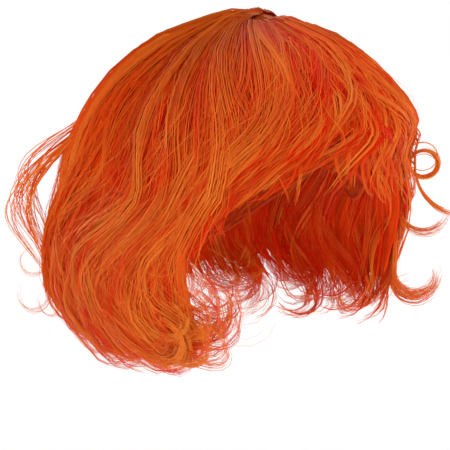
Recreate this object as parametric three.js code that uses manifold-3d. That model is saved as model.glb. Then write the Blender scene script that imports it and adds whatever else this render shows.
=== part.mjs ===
// Wavy bob wig: a stretch cap that carries a fringe, two sides and a back of waved hair.
// Millimetres, +Z up. The face opening looks along -Y, the wearer's left is +X,
// and the origin is the seat inside the cap's crown, where the top of the head bears.
import * as THREE from "three";
import Module from "manifold-3d";

const wasm = await Module();
wasm.setup();

// Driving sizes
const HEAD = { halfWidth: 76, halfLength: 97, height: 98 }; // hollow of the cap, crown to widest level
const CAP_WALL = 2;
const CAP_STEPS = { around: 32, down: 7 };
const PIECE_GAP = 0.5; // left between neighbouring pieces
const FIRST_FALL = 0.012; // the hair starts this far from the whorl
const RING_POWER = 2.3; // plan of the hair: 2 is an ellipse, more is squarer
const BACKING_SINK = 6; // the mat of hair lies this far under the outer form, less near the whorl
const HAIR_SEAT = CAP_WALL + 1.2; // the mat clears the cap's outside
const BACKING_STEPS = { acrossEachLock: 1, down: 8 };
const BACKING_END = 0.95; // share of the fall where the mat stops, short of the tips
const HANGS_BY = 0.9; // share of the fall where the hair is down to its tip thickness
const HALVINGS = 24; // steps in a search by halving
const CURL_STEP = 36; // degrees of curl to a step
const LOCK = { thick: 10, depth: 4.5, rootDepth: 7, firstShare: 0.14, freeShare: 0.3 };
const LOCK_CORNERS = [[1, -0.3], [0, -1], [-1, -0.3], [-0.5, 0.8], [0.5, 0.8]]; // rounded outside
const TAPER = { share: [0, 0.2, 0.55, 0.85, 1], width: [0.32, 0.62, 1, 0.8, 0.3] };
const STAND_FROM = 0.48; // share of the fall where a lock that stands clear leaves the mat
const STATIONS = [0, 0.25, 0.46, 0.62, 0.79, 0.92, 1]; // shares of the fall where locks' azimuths are given

const table = (columns, rows) =>
  rows.map((row) => Object.fromEntries(columns.map((column, i) => [column, row[i]])));

// Lower edge of the cap. Azimuth runs from 0 at the face to 180 at the nape, alike on both sides.
const CAP_EDGE = table(
  ["azimuth", "z"],
  [
    [0, -62], // forehead
    [30, -68],
    [55, -98],
    [72, -116], // tab in front of the ear
    [95, -98], // over the ear
    [120, -122],
    [150, -150],
    [180, -156], // nape
  ],
);

// Outer form of the hair in rings from the whorl (fall 0) to the hem (fall 1).
// wide, front and back are half sizes from the ring's own centre.
const FORM = table(
  ["fall", "z", "wide", "front", "back", "centreX", "centreY"],
  [
    [0.0, 17, 3, 3, 3, 18, 8], // whorl, left of the crown
    [0.06, 22, 18, 17, 18, 10, 5],
    [0.14, 16, 37, 37, 38, 4, 3],
    [0.24, 1, 67, 70, 73, 1, 1],
    [0.34, -22, 91, 99, 102, 0, 0],
    [0.45, -52, 108, 118, 122, 1, 0],
    [0.55, -80, 111, 116, 131, -2, 2],
    [0.66, -110, 114, 111, 140, -6, 2],
    [0.78, -145, 120, 108, 148, -12, 2],
    [0.9, -182, 120, 105, 147, -13, 2],
    [1.0, -214, 109, 98, 134, -11, 2], // hem
  ],
);

// Locks in order round the head. Azimuths in degrees from the face, positive to the wearer's left,
// at the seven stations of the fall. stand lifts the middle clear of the mat. The tip then curls
// through turn degrees at a radius, towards heading: 0 outwards, 90 to larger azimuth, 180 inwards.
const AZIMUTHS = ["whorl", "crown", "temple", "ear", "cheek", "jaw", "hem"];
const LOCK_COLUMNS = [...AZIMUTHS, "tipZ", "stand", "turn", "radius", "heading"];
const SECTIONS = [
  {
    name: "fringe",
    colour: 0xd8581a,
    lockWidth: 18,
    lockSteps: 6,
    hangFrom: 0.55, // share of the fall where the hair leaves the cap
    tipThick: 9,
    locks: table(LOCK_COLUMNS, [
      [-54, -50, -46, -45, -49, -54, -57, -112, 0, 25, 40, -90],
      [-43, -38, -36, -37, -44, -51, -55, -110, 0, 25, 40, -90],
      [-31, -26, -25, -29, -39, -47, -52, -106, 0, 25, 40, -90],
      [-19, -14, -15, -20, -32, -42, -48, -101, 0, 25, 40, -90],
      [-7, -3, -5, -11, -24, -35, -42, -94, 0, 25, 40, -90],
      [4, 7, 4, -2, -15, -27, -35, -86, 0, 25, 40, -90],
      [13, 15, 12, 7, -5, -17, -25, -77, 0, 25, 40, -90],
      [19, 19, 17, 15, 11, 9, 9, -70, 0, 20, 40, 60],
      [27, 25, 23, 23, 24, 26, 28, -86, 0, 30, 34, 60],
      [36, 32, 30, 31, 35, 40, 43, -100, 0, 35, 30, 40],
      [46, 41, 38, 40, 46, 52, 55, -110, 0, 40, 28, 20],
    ]),
    strays: [],
  },
  {
    name: "right_side_hair",
    colour: 0xd4521a,
    lockWidth: 27,
    lockSteps: 8,
    hangFrom: 0.45,
    tipThick: 14,
    locks: table(LOCK_COLUMNS, [
      [-103, -100, -102, -106, -121, -123, -116, -180, 0, 120, 20, 110],
      [-91, -87, -89, -90, -107, -108, -100, -190, 0, 130, 19, 90],
      [-79, -74, -73, -71, -92, -94, -86, -194, 0, 140, 20, 110],
      [-68, -62, -57, -53, -75, -78, -71, -190, 0, 180, 20, 90],
      [-58, -54, -49, -44, -57, -64, -62, -176, 0, 225, 22, 80],
    ]),
    strays: [],
  },
  {
    name: "left_side_hair",
    colour: 0xd4521a,
    lockWidth: 27,
    lockSteps: 8,
    hangFrom: 0.45,
    tipThick: 14,
    locks: table(LOCK_COLUMNS, [
      [54, 48, 45, 50, 66, 71, 71, -164, 0, 130, 24, 0],
      [65, 60, 58, 61, 80, 84, 80, -188, 0, 120, 20, 170],
      [77, 74, 73, 75, 94, 97, 90, -194, 0, 130, 20, -120],
      [90, 88, 89, 91, 108, 111, 104, -194, 0, 130, 20, 150],
      [103, 102, 104, 107, 122, 125, 118, -190, 0, 120, 20, -100],
    ]),
    strays: table(LOCK_COLUMNS, [
      [52, 48, 47, 48, 50, 51, 52, -86, 3, 330, 10, 0], // ring curl by the temple
    ]),
  },
  {
    name: "back_hair",
    colour: 0xcf4c18,
    lockWidth: 30,
    lockSteps: 7,
    hangFrom: 0.45,
    tipThick: 14,
    locks: table(LOCK_COLUMNS, [
      [117, 117, 119, 123, 136, 139, 132, -196, 0, 130, 18, 90],
      [134, 134, 136, 141, 152, 154, 147, -190, 0, 130, 20, -120],
      [151, 151, 153, 158, 167, 168, 161, -198, 0, 120, 20, 100],
      [169, 169, 170, 175, 181, 181, 175, -192, 0, 130, 20, 170],
      [187, 187, 187, 191, 193, 193, 190, -198, 0, 120, 20, -90],
      [205, 205, 204, 206, 203, 202, 206, -192, 0, 130, 20, 170],
      [223, 223, 221, 220, 212, 210, 218, -192, 0, 120, 20, 90],
      [241, 243, 241, 238, 225, 222, 230, -184, 0, 130, 20, 110],
    ]),
    strays: table(LOCK_COLUMNS, [
      [228, 229, 230, 230, 230, 230, 229, -174, 33, 0, 18, 0], // arch behind the right ear
    ]),
  },
];
const CAP_COLOUR = 0x9c2f12;

const { clamp, degToRad, lerp, radToDeg, smoothstep } = THREE.MathUtils;

// Smooth curve through a table: at each row it slopes as its two neighbours do.
function through(knots, values, at) {
  const last = knots.length - 1;
  const t = clamp(at, knots[0], knots[last]);
  let i = 0;
  while (i < last - 1 && t > knots[i + 1]) i += 1;
  const slope = (k) => {
    const before = Math.max(k - 1, 0);
    const after = Math.min(k + 1, last);
    return (values[after] - values[before]) / (knots[after] - knots[before]);
  };
  const span = knots[i + 1] - knots[i];
  const f = (t - knots[i]) / span;
  const ease = f * f * (3 - 2 * f);
  const start = f * (1 - f) * (1 - f) * span * slope(i);
  const end = f * f * (1 - f) * span * slope(i + 1);
  return lerp(values[i], values[i + 1], ease) + start - end;
}

const column = (rows, name) => rows.map((row) => row[name]);
const formAt = (name, fall) => through(column(FORM, "fall"), column(FORM, name), fall);
const signedPower = (value, power) => Math.sign(value) * Math.abs(value) ** power;

// The fall at which the form reaches a height, by halving.
function fallAtHeight(z) {
  let low = FORM[1].fall;
  let high = 1;
  for (let i = 0; i < HALVINGS; i += 1) {
    const middle = (low + high) / 2;
    if (formAt("z", middle) > z) low = middle;
    else high = middle;
  }
  return low;
}

// Point of the form, with the point of the head's core that it stands out from.
function formPoint(azimuth, fall) {
  const angle = degToRad(azimuth);
  const power = 2 / RING_POWER;
  const reach = Math.cos(angle) > 0 ? formAt("front", fall) : formAt("back", fall);
  const point = new THREE.Vector3(
    formAt("centreX", fall) + formAt("wide", fall) * signedPower(Math.sin(angle), power),
    formAt("centreY", fall) - reach * signedPower(Math.cos(angle), power),
    formAt("z", fall),
  );
  return { point, core: new THREE.Vector3(0, 0, Math.min(-HEAD.height, point.z)) };
}

const outwardOf = ({ point, core }) => point.clone().sub(core).normalize();

// How far the cap's outside, with the mat's seat, reaches from the core along a direction.
function seatReach(direction, z) {
  const below = Math.max(0, -HEAD.height - z);
  const level = Math.sqrt(Math.max(0, 1 - (below / (HEAD.height + HAIR_SEAT)) ** 2));
  const stretched = new THREE.Vector3(
    direction.x / (HEAD.halfWidth + HAIR_SEAT),
    direction.y / (HEAD.halfLength + HAIR_SEAT),
    direction.z / (HEAD.height + HAIR_SEAT),
  );
  return level / stretched.length();
}

// A lock's place at a share of its fall.
function flow(lock, share) {
  const azimuths = AZIMUTHS.map((name) => lock[name]);
  return {
    azimuth: through(STATIONS, azimuths, share),
    fall: lerp(FIRST_FALL, fallAtHeight(lock.tipZ), share),
  };
}

// A lock between two of a section's locks, for the mat that joins them.
function blendedLock(locks, place) {
  const i = clamp(Math.floor(place), 0, locks.length - 2);
  const mixed = LOCK_COLUMNS.map((name) => [name, lerp(locks[i][name], locks[i + 1][name], place - i)]);
  return Object.fromEntries(mixed);
}

// Closed body lofted through rings of equal count. Ends close as a fan, or as a strip across a flat band.
function loft(rings, endStyle) {
  const count = rings[0].length;
  const positions = rings.flat().flatMap((p) => [p.x, p.y, p.z]);
  const faces = [];
  const quad = (a, b, c, d) => faces.push(a, b, c, a, c, d);
  for (let r = 0; r < rings.length - 1; r += 1) {
    for (let k = 0; k < count; k += 1) {
      const next = (k + 1) % count;
      quad(r * count + k, r * count + next, (r + 1) * count + next, (r + 1) * count + k);
    }
  }
  const closeEnd = (first, turned) => {
    const half = count / 2;
    for (let k = 1; k < (endStyle === "strip" ? half : count - 1); k += 1) {
      const corners = endStyle === "strip" ? [k - 1, k, count - k - 1, count - k] : [0, k, k + 1];
      const [a, b, c, d] = (turned ? corners.reverse() : corners).map((corner) => first + corner);
      if (d === undefined) faces.push(a, c, b);
      else quad(a, d, c, b);
    }
  };
  closeEnd(0, false);
  closeEnd((rings.length - 1) * count, true);
  const geometry = new THREE.BufferGeometry();
  geometry.setAttribute("position", new THREE.Float32BufferAttribute(positions, 3));
  geometry.setIndex(faces);
  return geometry;
}

function solidOf(geometry) {
  return new wasm.Manifold(
    new wasm.Mesh({
      numProp: 3,
      vertProperties: geometry.getAttribute("position").array,
      triVerts: new Uint32Array(geometry.index.array),
    }),
  );
}

function geometryOf(solid) {
  const { vertProperties, triVerts } = solid.getMesh();
  const geometry = new THREE.BufferGeometry();
  geometry.setAttribute("position", new THREE.BufferAttribute(vertProperties, 3));
  geometry.setIndex(new THREE.BufferAttribute(triVerts, 1));
  geometry.computeVertexNormals();
  return geometry;
}

// The mat of hair under a section's locks. Grown by a little, it cuts its neighbours clear.
function backing(section, grow) {
  const { locks, hangFrom, tipThick } = section;
  const across = (locks.length - 1) * BACKING_STEPS.acrossEachLock + 2;
  const rings = [];
  for (let i = 0; i <= across; i += 1) {
    const place = lerp(-0.5, locks.length - 0.5, i / across);
    const lock = blendedLock(locks, place);
    const edge = i === 0 ? -1 : i === across ? 1 : 0;
    const outer = [];
    const inner = [];
    for (let j = 0; j <= BACKING_STEPS.down; j += 1) {
      const share = (j / BACKING_STEPS.down) * BACKING_END;
      const { azimuth, fall } = flow(lock, share);
      const widen = radToDeg(grow / formAt("wide", fall));
      const at = formPoint(azimuth + edge * widen, fall);
      const outward = outwardOf(at);
      const sink = BACKING_SINK * smoothstep(share, 0, LOCK.freeShare);
      const reach = at.point.distanceTo(at.core) - sink;
      const seat = seatReach(outward, at.point.z);
      const hanging = smoothstep(share, hangFrom, HANGS_BY);
      const inside = Math.max(seat, lerp(seat, reach - tipThick, hanging));
      outer.push(at.core.clone().addScaledVector(outward, reach + grow));
      inner.unshift(at.core.clone().addScaledVector(outward, inside - grow));
    }
    rings.push([...outer, ...inner]);
  }
  return solidOf(loft(rings, "strip"));
}

// Centre line of a lock: down over the form, then round its curl.
function lockLine(lock, steps) {
  const line = [];
  for (let j = 0; j <= steps; j += 1) {
    const share = lerp(LOCK.firstShare, 1, j / steps);
    const { azimuth, fall } = flow(lock, share);
    const at = formPoint(azimuth, fall);
    const outward = outwardOf(at);
    const depth = lerp(LOCK.rootDepth, LOCK.depth, smoothstep(share, LOCK.firstShare, LOCK.freeShare));
    const arch = Math.max(0, (share - STAND_FROM) / (1 - STAND_FROM));
    const rise = lock.stand * Math.sin(Math.PI * arch) ** 2 - depth;
    line.push({ point: at.point.clone().addScaledVector(outward, rise), outward });
  }
  const [before, end] = line.slice(-2);
  const down = end.point.clone().sub(before.point).normalize();
  const level = new THREE.Vector3(0, 0, 1);
  const sideways = new THREE.Vector3().crossVectors(level, end.outward).normalize();
  const heading = degToRad(lock.heading);
  const inPlane = end.outward.clone().multiplyScalar(Math.cos(heading));
  inPlane.addScaledVector(sideways, Math.sin(heading));
  inPlane.addScaledVector(down, -inPlane.dot(down)).normalize();
  const axis = new THREE.Vector3().crossVectors(down, inPlane);
  const curlSteps = Math.ceil(lock.turn / CURL_STEP);
  for (let k = 1; k <= curlSteps; k += 1) {
    const angle = degToRad((lock.turn * k) / curlSteps);
    const point = end.point.clone().addScaledVector(down, lock.radius * Math.sin(angle));
    point.addScaledVector(inPlane, lock.radius * (1 - Math.cos(angle)));
    line.push({ point, outward: end.outward.clone().applyAxisAngle(axis, angle) });
  }
  return line;
}

// A lock of hair: a lens section swept along its line, thin at both ends.
function lockSolid(lock, section, grow) {
  const line = lockLine(lock, section.lockSteps);
  const rings = line.map(({ point, outward }, i) => {
    const before = line[Math.max(i - 1, 0)].point;
    const after = line[Math.min(i + 1, line.length - 1)].point;
    const along = after.clone().sub(before).normalize();
    const across = new THREE.Vector3().crossVectors(along, outward).normalize();
    const off = new THREE.Vector3().crossVectors(across, along);
    const taper = through(TAPER.share, TAPER.width, i / (line.length - 1));
    const halfWidth = (section.lockWidth / 2) * taper + grow;
    const halfThick = (LOCK.thick / 2) * taper + grow;
    const end = i === 0 ? -grow : i === line.length - 1 ? grow : 0;
    const centre = point.clone().addScaledVector(along, end);
    return LOCK_CORNERS.map(([u, v]) =>
      centre.clone().addScaledVector(across, u * halfWidth).addScaledVector(off, v * halfThick),
    );
  });
  return solidOf(loft(rings, "fan"));
}

function sectionSolid(section, grow) {
  return [...section.locks, ...section.strays].reduce(
    (whole, lock) => whole.add(lockSolid(lock, section, grow)),
    backing(section, grow),
  );
}

// The largest of a cut solid's bodies.
const mainBody = (solid) =>
  solid.decompose().reduce((best, body) => (body.volume() > best.volume() ? body : best));

// Stretch cap: a thin dome with a waved edge, open below for the head.
function capGeometry(grow) {
  const edgeZ = (azimuth) => through(column(CAP_EDGE, "azimuth"), column(CAP_EDGE, "z"), Math.abs(azimuth));
  const ring = (share, wall) =>
    Array.from({ length: CAP_STEPS.around }, (_, k) => {
      const azimuth = 180 - (360 * k) / CAP_STEPS.around;
      const edge = Math.acos((edgeZ(azimuth) + HEAD.height) / HEAD.height);
      const polar = (edge + (share * grow) / HEAD.height) * share;
      const angle = degToRad(azimuth);
      return new THREE.Vector3(
        (HEAD.halfWidth + wall) * Math.sin(polar) * Math.sin(angle),
        -(HEAD.halfLength + wall) * Math.sin(polar) * Math.cos(angle),
        (HEAD.height + wall) * Math.cos(polar) - HEAD.height,
      );
    });
  const shares = Array.from({ length: CAP_STEPS.down }, (_, j) => (j + 1) / CAP_STEPS.down);
  const outside = shares.map((share) => ring(share, CAP_WALL + grow));
  const inside = shares.map((share) => ring(share, -grow)).reverse();
  return loft([...outside, ...inside], "fan");
}

function hairMaterial(colour) {
  return new THREE.MeshStandardMaterial({ color: colour, roughness: 0.45, metalness: 0 });
}

const wig = new THREE.Group();
const cap = new THREE.Mesh(capGeometry(0), hairMaterial(CAP_COLOUR));
cap.name = "cap";
wig.add(cap);

const cutters = [solidOf(capGeometry(PIECE_GAP))];
for (const section of SECTIONS) {
  const whole = sectionSolid(section, 0);
  const clear = cutters.reduce((solid, cutter) => solid.subtract(cutter), whole);
  const hair = new THREE.Mesh(geometryOf(mainBody(clear)), hairMaterial(section.colour));
  hair.name = section.name;
  wig.add(hair);
  cutters.push(sectionSolid(section, PIECE_GAP).add(whole));
}

export default wig;
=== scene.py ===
# %% [markdown]
# A wavy bob wig. The imported model holds the cap and the outer form of the hair as plain solids.
# This lesson keeps that frame fixed and grows real strands in the same places: lines for the locks
# come from a few tables, and Geometry Nodes turn each line into a bundle of fine tapered fibres.
# The camera comes first, so that every later step can be judged from the photograph's angle.

# %% Frame and camera
import math

import bpy
import numpy as np
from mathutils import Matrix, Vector


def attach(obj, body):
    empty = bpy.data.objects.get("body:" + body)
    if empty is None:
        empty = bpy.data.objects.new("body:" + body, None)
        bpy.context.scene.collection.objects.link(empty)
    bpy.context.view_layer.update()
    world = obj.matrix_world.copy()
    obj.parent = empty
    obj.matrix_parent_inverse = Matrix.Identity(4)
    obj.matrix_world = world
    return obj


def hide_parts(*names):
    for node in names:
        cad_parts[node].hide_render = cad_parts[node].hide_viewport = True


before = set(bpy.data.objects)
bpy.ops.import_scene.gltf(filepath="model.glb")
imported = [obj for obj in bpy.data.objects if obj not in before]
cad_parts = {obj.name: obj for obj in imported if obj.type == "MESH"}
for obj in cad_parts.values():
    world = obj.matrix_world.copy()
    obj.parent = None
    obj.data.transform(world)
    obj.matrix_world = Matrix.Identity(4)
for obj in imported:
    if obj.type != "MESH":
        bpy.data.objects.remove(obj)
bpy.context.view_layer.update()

MM = 0.001
CAMERA_AZIMUTH = math.radians(-35)  # from the face towards the wearer's right
CAMERA_ELEVATION = math.radians(11)
CAMERA_DISTANCE = 1.5
CAMERA_LENS = 171
SEAT_RIGHT_OF_MIDDLE = 16.1 * MM
SEAT_ABOVE_MIDDLE = 130.2 * MM


def add_object(name, data):
    made = bpy.data.objects.new(name, data)
    bpy.context.scene.collection.objects.link(made)
    return made


def make_camera():
    sine, cosine = math.sin(CAMERA_AZIMUTH), math.cos(CAMERA_AZIMUTH)
    level = math.cos(CAMERA_ELEVATION)
    back = Vector((sine * level, -cosine * level, math.sin(CAMERA_ELEVATION)))
    right = Vector((cosine, sine, 0))
    up = back.cross(right)
    camera = add_object("camera", bpy.data.cameras.new("camera"))
    camera.data.lens = CAMERA_LENS
    aim = right * -SEAT_RIGHT_OF_MIDDLE + up * -SEAT_ABOVE_MIDDLE
    camera.location = aim + back * CAMERA_DISTANCE
    camera.rotation_mode = "QUATERNION"
    camera.rotation_quaternion = (-back).to_track_quat("-Z", "Y")
    bpy.context.scene.camera = camera
    return camera


camera = make_camera()
print("camera at", [round(value, 3) for value in camera.location])

# %% [markdown]
# The wig's form. The hair falls from a whorl a little left of the crown, over the cap, to a hem at
# chin length. Rings from whorl to hem give its outer shape, and the same smooth curve through a table
# serves every size that changes on the way. All of it is in millimetres until meshes are made, and a
# share is a part of the way from whorl to tip unless a comment says what it is of.

# %% Tables of the form
HOLLOW = np.array([76.0, 97.0, 98.0])  # half width, half length and height of the cap's hollow
CAP_WALL = 2.0
HAIR_SEAT = CAP_WALL + 1.2  # from the hollow to the lowest hair
FIRST_FALL = 0.002  # lines start just clear of the whorl's point
RING_POWER = 2.3  # over 2, so the rings are a little square
FORM_COLUMNS = ("fall", "z", "wide", "front", "back", "centre_x", "centre_y")
FORM_ROWS = [
    (0.0, 20, 0.3, 0.3, 0.3, 18, 8),
    (0.06, 19, 18, 17, 17, 10, 5),
    (0.14, 13, 36, 37, 34, 4, 3),
    (0.24, 0, 65, 70, 66, 1, 1),
    (0.34, -23, 90, 99, 96, 0, 0),
    (0.45, -52, 108, 118, 122, 1, 0),
    (0.55, -80, 111, 113, 131, -6, 2),
    (0.66, -110, 114, 111, 140, -6, 2),
    (0.78, -145, 120, 108, 148, -12, 2),
    (0.9, -182, 120, 105, 147, -13, 2),
    (1.0, -214, 109, 98, 134, -11, 2),
]
FORM = dict(zip(FORM_COLUMNS, np.array(FORM_ROWS, float).T))


def through(knots, values, at):
    """Smooth curve through a table; a table with several rows gives each row of at its own curve."""
    knots = np.asarray(knots, float)
    at = np.clip(np.atleast_2d(at), knots[0], knots[-1])
    values = np.broadcast_to(np.asarray(values, float), (at.shape[0], len(knots)))
    order = np.arange(len(knots))
    before, after = np.maximum(order - 1, 0), np.minimum(order + 1, len(knots) - 1)
    slopes = (values[:, after] - values[:, before]) / (knots[after] - knots[before])
    i = np.clip(np.searchsorted(knots, at, side="right") - 1, 0, len(knots) - 2)
    take = lambda table, index: np.take_along_axis(table, index, axis=1)
    span = knots[i + 1] - knots[i]
    f = (at - knots[i]) / span
    start, end = take(values, i), take(values, i + 1)
    bend = f * (1 - f) ** 2 * span * take(slopes, i) - f**2 * (1 - f) * span * take(slopes, i + 1)
    return start + (end - start) * f * f * (3 - 2 * f) + bend


def smooth(at, low, high):
    """A step from 0 to 1 with soft ends."""
    f = np.clip((at - low) / (high - low), 0, 1)
    return f * f * (3 - 2 * f)


def unit(vectors):
    return vectors / np.maximum(np.linalg.norm(vectors, axis=-1, keepdims=True), 1e-9)


def form_at(name, fall):
    return through(FORM["fall"], FORM[name], fall)


def form_points(azimuth, fall):
    """Points of the outer form with their core points, outward directions and distances."""
    angle = np.radians(azimuth)
    bulge = lambda wave: np.sign(wave) * np.abs(wave) ** (2 / RING_POWER)
    reach = np.where(np.cos(angle) > 0, form_at("front", fall), form_at("back", fall))
    x = form_at("centre_x", fall) + form_at("wide", fall) * bulge(np.sin(angle))
    y = form_at("centre_y", fall) - reach * bulge(np.cos(angle))
    points = np.stack([x, y, form_at("z", fall)], axis=-1)
    core = np.zeros_like(points)
    core[..., 2] = np.minimum(-HOLLOW[2], points[..., 2])
    return core, unit(points - core), np.linalg.norm(points - core, axis=-1)


def seat_reach(outward, z):
    """How far the cap's outside, with the hair's seat, reaches from the core."""
    below = np.maximum(0, -HOLLOW[2] - z) / (HOLLOW[2] + HAIR_SEAT)
    level = np.sqrt(np.maximum(0, 1 - below**2))
    return level / np.linalg.norm(outward / (HOLLOW + HAIR_SEAT), axis=-1)


def fall_at_height(z):
    falls = np.linspace(FORM["fall"][1], 1, 400)
    heights = form_at("z", falls)[0]
    return np.interp(-np.asarray(z, float), -heights, falls)


print("form is", FORM["wide"].max() * 2, "mm wide and falls to", FORM["z"].min(), "mm")

# %% [markdown]
# Locks. Each row is one lock of the solid model: its azimuth round the cap at seven stations from
# whorl to hem, the height of its tip, how far its middle stands clear, and how its tip curls. The
# azimuths swing forward at the ear and back at the cheek, which is the wig's big S-wave. The real
# wig has far more, finer locks, so later cells mix neighbouring rows into hundreds of lines.

# %% Tables of the locks
STATIONS = [0, 0.25, 0.46, 0.62, 0.79, 0.92, 1]
AZIMUTHS = ("whorl", "crown", "temple", "ear", "cheek", "jaw", "hem")
LOCK_COLUMNS = AZIMUTHS + ("tip_z", "stand", "turn", "radius", "heading")
COLUMN = {name: i for i, name in enumerate(LOCK_COLUMNS)}
WAY = slice(0, len(AZIMUTHS))
LOCKS = {
    "fringe": [
        (-54, -50, -46, -45, -49, -54, -57, -112, 0, 25, 40, -90),
        (-43, -38, -36, -37, -44, -51, -55, -110, 0, 25, 40, -90),
        (-31, -26, -25, -29, -39, -47, -52, -106, 0, 25, 40, -90),
        (-19, -14, -15, -20, -32, -42, -48, -101, 0, 25, 40, -90),
        (-7, -3, -5, -11, -24, -35, -42, -94, 0, 25, 40, -90),
        (4, 7, 4, -2, -15, -27, -35, -86, 0, 25, 40, -90),
        (13, 14, 10, 4, -7, -15, -20, -79, 0, 25, 40, -90),
        (19, 18, 15, 11, 5, 2, 0, -74, 0, 20, 40, -60),
        (27, 25, 22, 20, 18, 18, 19, -84, 0, 30, 34, 60),
        (36, 32, 29, 29, 31, 35, 38, -92, 0, 35, 30, 60),
        (46, 41, 38, 40, 46, 50, 52, -90, 0, 25, 30, 80),
    ],
    "right_side_hair": [
        (-103, -100, -102, -106, -121, -123, -116, -178, 0, 130, 20, 155),
        (-91, -87, -89, -90, -107, -108, -100, -194, 0, 140, 19, 135),
        (-79, -74, -73, -71, -92, -94, -86, -204, 0, 140, 20, 110),
        (-68, -62, -57, -53, -75, -78, -66, -200, 0, 180, 20, 100),
        (-58, -54, -49, -44, -57, -62, -51, -184, 0, 215, 21, 85),
    ],
    "left_side_hair": [
        (54, 48, 45, 50, 64, 69, 69, -178, 6, 60, 30, 170),
        (65, 60, 58, 61, 80, 84, 80, -184, 6, 120, 20, 170),
        (77, 74, 73, 75, 94, 97, 90, -194, 0, 130, 20, -120),
        (90, 88, 89, 91, 108, 111, 104, -194, 0, 130, 20, 150),
        (103, 102, 104, 107, 122, 125, 118, -190, 0, 120, 20, -100),
    ],
    "back_hair": [
        (117, 117, 119, 123, 136, 139, 132, -196, 0, 130, 18, 90),
        (134, 134, 136, 141, 152, 154, 147, -190, 0, 130, 20, -120),
        (151, 151, 153, 158, 167, 168, 161, -198, 0, 120, 20, 100),
        (169, 169, 170, 175, 181, 181, 175, -192, 0, 130, 20, 170),
        (187, 187, 187, 191, 193, 193, 190, -198, 0, 120, 20, -90),
        (205, 205, 204, 206, 203, 202, 206, -192, 0, 130, 20, 170),
        (223, 223, 221, 220, 212, 210, 218, -188, 0, 130, 20, 165),
        (241, 243, 241, 238, 225, 222, 230, -179, 0, 140, 20, 170),
    ],
}
HANG = {"fringe": (0.55, 9)}  # where hair leaves the cap, and its thickness at the tips
PLAIN_HANG = (0.45, 14)  # in the other sections
HANG_FULL = 0.9  # where it has that thickness
CREST = {"fringe": -5.0, "left_side_hair": -6.0}  # how far hair by the whorl rises or sinks
PLAIN_CREST = 1.5
CREST_SHARE = 0.07  # where it does so most, and how far that spreads
CREST_SPREAD = 0.06
print(sum(len(rows) for rows in LOCKS.values()), "locks in", len(LOCKS), "sections")

# %% [markdown]
# From a row to a line. A strand rises from the cap, lies at its own depth in the hair, waves as it
# hangs, and ends in a curl. The points are worked out for many rows at once and then spaced again,
# closer in the bends. Each line starts its spacing at a place of its own, so no two lines have their
# corners side by side. One seeded generator makes every draw, so the wig is the same each time.

# %% Lines of locks
SEED = 11
rng = np.random.default_rng(SEED)
FALL_SAMPLES = 48
CURL_SAMPLES = 20
ROOT_RISE = 0.06  # in which a strand climbs from its root to its depth
ROOT_DEPTH = 0.45  # of the curtain's depth, at the roots
BURIED_FROM = 0.12  # past which roots lie under other hair
STAND_FROM = 0.56  # past which a lock may stand clear
WAVES_GROW = (0.3, 0.75)
SINK = 2.5  # of a lock's middle under the outer form, as its strands rise round it
CAP_CLEAR = 1.0  # least distance of a line from the hair's seat
BEND_WEIGHT = 60.0  # extra run for each radian of bend
SPACING_SHIFT = 0.45  # most that points shift along a line, in steps


def hair_at(section, rows, azimuth, share):
    """Core points, outward directions, reach of the form and of the seat, and depth of the curtain."""
    last = fall_at_height(rows[:, COLUMN["tip_z"]])[:, None]
    fall = FIRST_FALL + (last - FIRST_FALL) * share
    core, outward, reach = form_points(azimuth, fall)
    seat = seat_reach(outward, form_at("z", fall))
    hang_from, tip_thick = HANG.get(section, PLAIN_HANG)
    hanging = smooth(share, hang_from, HANG_FULL)
    inside = np.maximum(seat, seat + (reach - tip_thick - seat) * hanging)
    return core, outward, reach, seat, np.maximum(reach - inside, 1)


def stand_clear(rows, share):
    """How far each row's middle stands off the form."""
    arch = np.sin(np.pi * np.maximum(0, (share - STAND_FROM) / (1 - STAND_FROM))) ** 2
    return rows[:, COLUMN["stand"]][:, None] * arch


def lock_lines(section, rows, root, depth, wave):
    """Dense lines and outward directions, one for each row of the lock columns."""
    share = root[:, None] + (1 - root[:, None]) * np.linspace(0, 1, FALL_SAMPLES)[None, :]
    hanging = smooth(share, *WAVES_GROW)
    phase = wave["phase"][:, None] + 2 * np.pi * wave["count"][:, None] * share
    azimuth = through(STATIONS, rows[:, WAY], share) + wave["azimuth"][:, None] * (np.sin(phase) * hanging)
    core, outward, reach, seat, thick = hair_at(section, rows, azimuth, share)
    settled = smooth(share, root[:, None], root[:, None] + ROOT_RISE)
    buried = ROOT_DEPTH * smooth(root[:, None], 0, BURIED_FROM)
    lift = -SINK - thick * (buried + (depth[:, None] - buried) * settled)
    lift = lift + stand_clear(rows, share) + wave["lift"][:, None] * (np.cos(phase) * hanging)
    crest = CREST.get(section, PLAIN_CREST)
    lift = lift + crest * np.exp(-(((share - CREST_SHARE) / CREST_SPREAD) ** 2))
    lift = np.maximum(lift, seat - reach + CAP_CLEAR)
    points = core + outward * (reach + lift)[..., None]
    return add_curls(points, outward, rows)


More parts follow.
